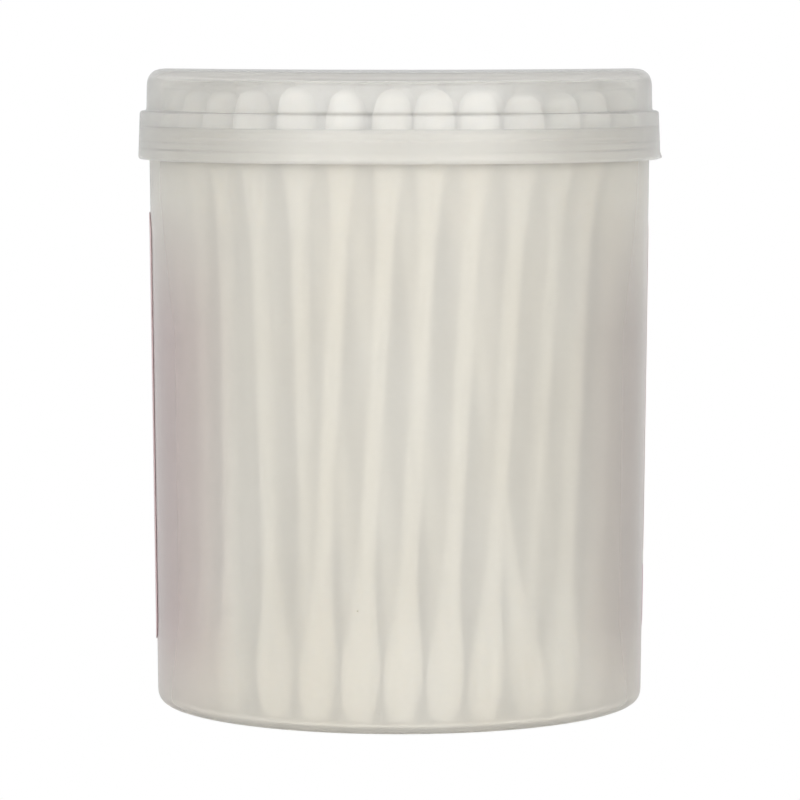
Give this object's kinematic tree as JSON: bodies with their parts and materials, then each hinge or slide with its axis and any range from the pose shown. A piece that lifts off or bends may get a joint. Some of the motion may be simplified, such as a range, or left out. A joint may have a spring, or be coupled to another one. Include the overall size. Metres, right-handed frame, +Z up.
{
  "type": "cotton swab tub",
  "caption": "Round frosted press-lid tub with a film label on its back half, full of standing double-ended cotton swabs.",
  "frame": {"origin": "middle of the foot, on the surface that the tub stands on", "axes": "+Z up along the tub's axis, -Y towards the front where the swabs show, +X to the right"},
  "size_m": [0.0638, 0.0636, 0.0771],
  "materials": {
    "tub_plastic": "frosted translucent polypropylene with a soft gloss",
    "lid_plastic": "translucent polypropylene, glossier and clearer than the tub",
    "label_film": null,
    "paper_stick": "tightly rolled matt white paper",
    "cotton": "soft white spun cotton"
  },
  "bodies": {
    "tub": {"core_bottom_heads": "cotton", "core_sticks": "paper_stick", "core_top_heads": "cotton", "fourth_ring_bottom_heads": "cotton", "fourth_ring_sticks": "paper_stick", "fourth_ring_top_heads": "cotton", "front_swab_01_bottom_head": "cotton", "front_swab_01_stick": "paper_stick", "front_swab_01_top_head": "cotton", "front_swab_02_bottom_head": "cotton", "front_swab_02_stick": "paper_stick", "front_swab_02_top_head": "cotton", "front_swab_03_bottom_head": "cotton", "front_swab_03_stick": "paper_stick", "front_swab_03_top_head": "cotton", "front_swab_04_bottom_head": "cotton", "front_swab_04_stick": "paper_stick", "front_swab_04_top_head": "cotton", "front_swab_05_bottom_head": "cotton", "front_swab_05_stick": "paper_stick", "front_swab_05_top_head": "cotton", "front_swab_06_bottom_head": "cotton", "front_swab_06_stick": "paper_stick", "front_swab_06_top_head": "cotton", "front_swab_07_bottom_head": "cotton", "front_swab_07_stick": "paper_stick", "front_swab_07_top_head": "cotton", "front_swab_08_bottom_head": "cotton", "front_swab_08_stick": "paper_stick", "front_swab_08_top_head": "cotton", "front_swab_09_bottom_head": "cotton", "front_swab_09_stick": "paper_stick", "front_swab_09_top_head": "cotton", "front_swab_10_bottom_head": "cotton", "front_swab_10_stick": "paper_stick", "front_swab_10_top_head": "cotton", "front_swab_11_bottom_head": "cotton", "front_swab_11_stick": "paper_stick", "front_swab_11_top_head": "cotton", "front_swab_12_bottom_head": "cotton", "front_swab_12_stick": "paper_stick", "front_swab_12_top_head": "cotton", "label": "label_film", "outer_ring_bottom_heads": "cotton", "outer_ring_sticks": "paper_stick", "outer_ring_top_heads": "cotton", "second_ring_bottom_heads": "cotton", "second_ring_sticks": "paper_stick", "second_ring_top_heads": "cotton", "third_ring_bottom_heads": "cotton", "third_ring_sticks": "paper_stick", "third_ring_top_heads": "cotton", "tub": "tub_plastic"},
    "lid": {"lid": "lid_plastic"}
  },
  "joints": [
    {"name": "lid_lift", "type": "slide", "parent": "tub", "child": "lid", "axis": [0, 0, 1], "range_m": [0, 0.04]}
  ]
}
